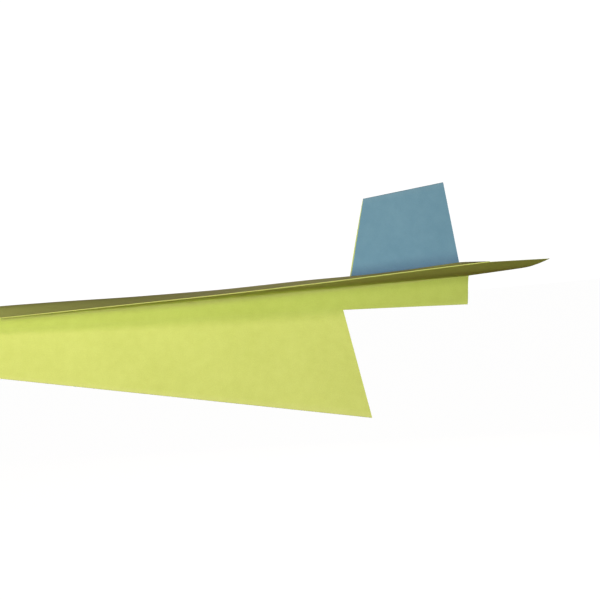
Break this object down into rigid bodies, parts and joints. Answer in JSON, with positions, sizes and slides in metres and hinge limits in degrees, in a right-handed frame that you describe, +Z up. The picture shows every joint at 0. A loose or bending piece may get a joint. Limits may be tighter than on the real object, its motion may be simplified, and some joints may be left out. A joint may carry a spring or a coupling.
{
  "type": "paper airplane",
  "caption": "Folded-paper dart glider with a deep finger keel, swept wings under double-folded leading edges, and a pop-up tail fin.",
  "frame": {"origin": "finger grip on the keel, midway between its two sides and about under the balance point", "axes": "+X from the nose to the tail along the wing roots, +Z up towards the fin, Y across the wings with the airplane's own left at -Y"},
  "size_m": [0.29, 0.1138, 0.0849],
  "materials": {
    "green_paper": "matt, uncoated",
    "blue_paper": "matt, uncoated"
  },
  "bodies": {
    "keel_right": {"keel_panel_right": "green_paper", "keel_corner_layer_right": "green_paper", "keel_turned_layer_right": "blue_paper", "keel_inner_flap_right": "green_paper", "keel_fold": "green_paper"},
    "keel_left": {"keel_panel_left": "green_paper", "keel_corner_layer_left": "green_paper", "keel_turned_layer_left": "blue_paper", "keel_inner_flap_left": "green_paper"},
    "wing_right": {"wing_panel_right": "green_paper", "wing_corner_layer_right": "green_paper", "wing_turned_layer_right": "blue_paper", "wing_top_flap_right": "green_paper", "leading_edge_fold_right": "green_paper"},
    "wing_left": {"wing_panel_left": "green_paper", "wing_corner_layer_left": "green_paper", "wing_turned_layer_left": "blue_paper", "wing_top_flap_left": "green_paper", "leading_edge_fold_left": "green_paper"},
    "fin_right": {"tail_fin_right": "blue_paper", "fin_fold": "blue_paper"},
    "fin_left": {"tail_fin_left": "blue_paper"}
  },
  "joints": [
    {"name": "keel_spread", "type": "hinge", "parent": "keel_right", "child": "keel_left", "pos_m": [-0.00254, 0, -0.01275], "axis": [0.9808, 0, -0.1951], "range_deg": [-2.4, 27], "stiffness_Nm_per_rad": 0.02},
    {"name": "wing_fold_left", "type": "hinge", "parent": "keel_left", "child": "wing_left", "pos_m": [0.00215, -0.00123, 0.01454], "axis": [-1, 0.0051, 0.0001], "range_deg": [-85, 75]},
    {"name": "wing_fold_right", "type": "hinge", "parent": "keel_right", "child": "wing_right", "pos_m": [0.00215, 0.00123, 0.01454], "axis": [1, 0.0051, -0.0001], "range_deg": [-85, 75]},
    {"name": "fin_crease", "type": "hinge", "parent": "keel_right", "child": "fin_right", "pos_m": [0.11999, 0.00149, 0.00556], "axis": [0.9994, 0.0042, -0.0346], "range_deg": [-2.4, 27]},
    {"name": "fin_top_fold", "type": "hinge", "parent": "fin_right", "child": "fin_left", "pos_m": [0.12202, 0, 0.04801], "axis": [-0.9919, 0, -0.1268], "range_deg": [-2.4, 27]}
  ],
  "couplings": [
    {"joint": "fin_crease", "follows": "keel_spread", "ratio": 0.9872},
    {"joint": "fin_top_fold", "follows": "keel_spread", "ratio": 1}
  ]
}
